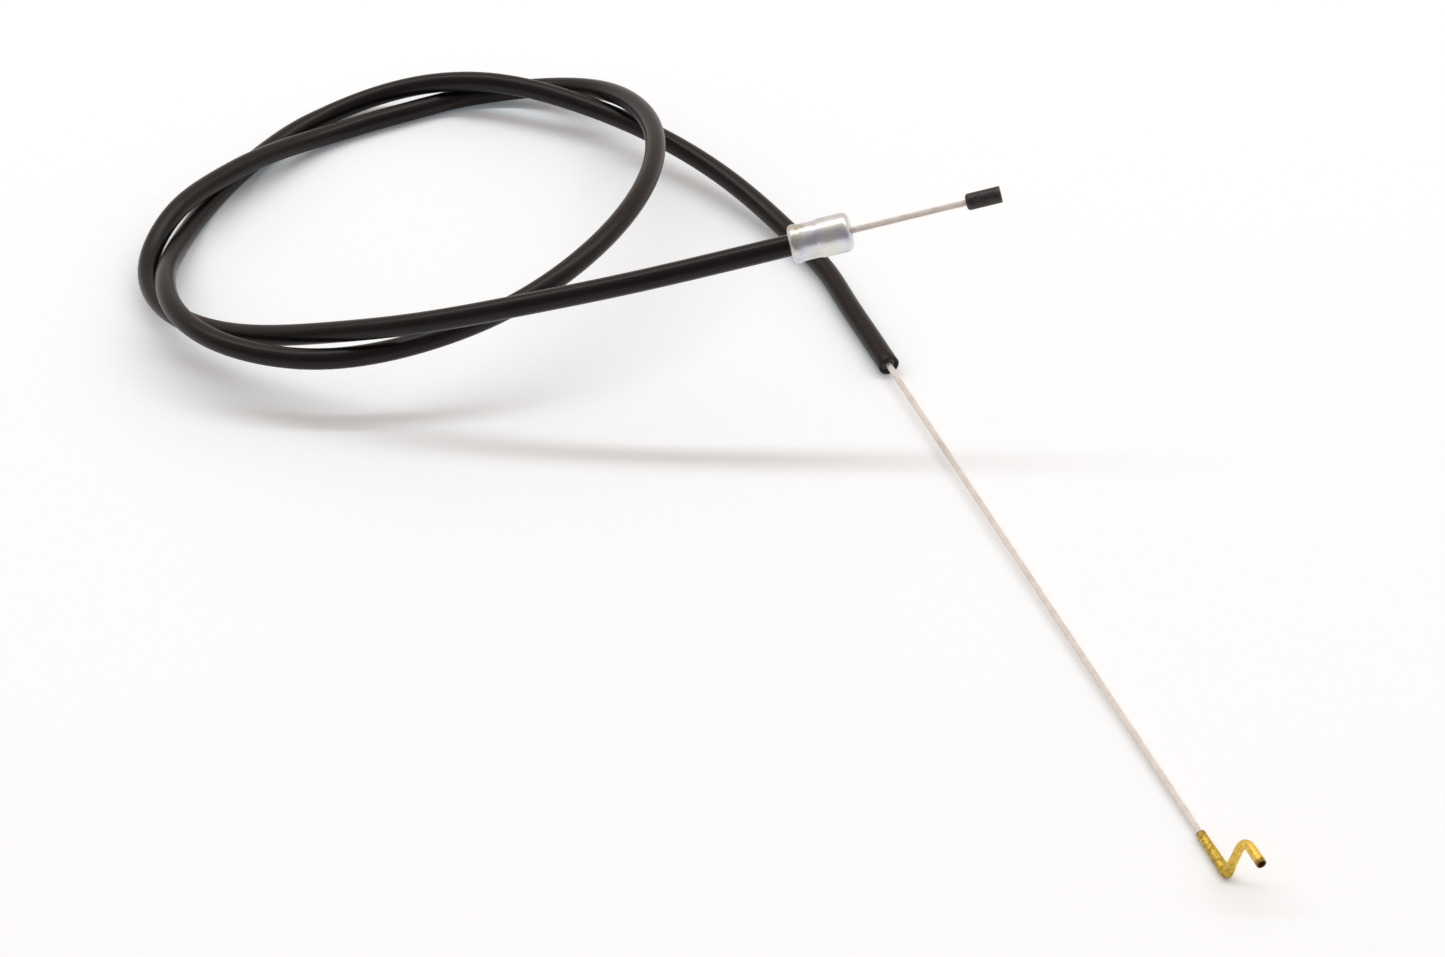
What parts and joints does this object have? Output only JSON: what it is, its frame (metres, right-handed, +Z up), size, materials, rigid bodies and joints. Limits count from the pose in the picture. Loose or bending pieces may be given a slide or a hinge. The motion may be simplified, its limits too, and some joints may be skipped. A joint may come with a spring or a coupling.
{
  "type": "throttle cable",
  "caption": "Pull cable for a small engine: a wire slides in a black casing between a barrel nipple and a bent tube hook.",
  "frame": {"origin": "middle of the footprint, on the surface that the cable lies on", "axes": "+Z up; the wire with the hook lies along -Y, and the nipple points along +X"},
  "size_m": [0.249, 0.286, 0.0617],
  "materials": {
    "casing_black": "satin black PVC",
    "winding_steel": "plain flat steel wire",
    "liner_plastic": "smooth black plastic",
    "zinc_plate": "bright zinc plating",
    "strand_steel": "bright stranded wire",
    "dark_nipple": "dark cast metal",
    "yellow_brass": "bright yellow brass tube"
  },
  "bodies": {
    "casing": {"outer_sheath": "casing_black", "steel_winding": "winding_steel", "liner": "liner_plastic", "end_ferrule": "zinc_plate", "inner_wire": "strand_steel"},
    "hook_end": {"hook_end_wire": "strand_steel", "z_hook": "yellow_brass"},
    "nipple_end": {"nipple_end_wire": "strand_steel", "nipple": "dark_nipple"}
  },
  "joints": [
    {"name": "hook_slide", "type": "slide", "parent": "casing", "child": "hook_end", "axis": [0.3551, -0.9348, -0.008], "range_m": [-0.011, 0.026]},
    {"name": "nipple_slide", "type": "slide", "parent": "casing", "child": "nipple_end", "axis": [0.9676, 0.0637, 0.2444], "range_m": [-0.026, 0.011]}
  ],
  "couplings": [
    {"joint": "nipple_slide", "follows": "hook_slide", "ratio": -1}
  ]
}
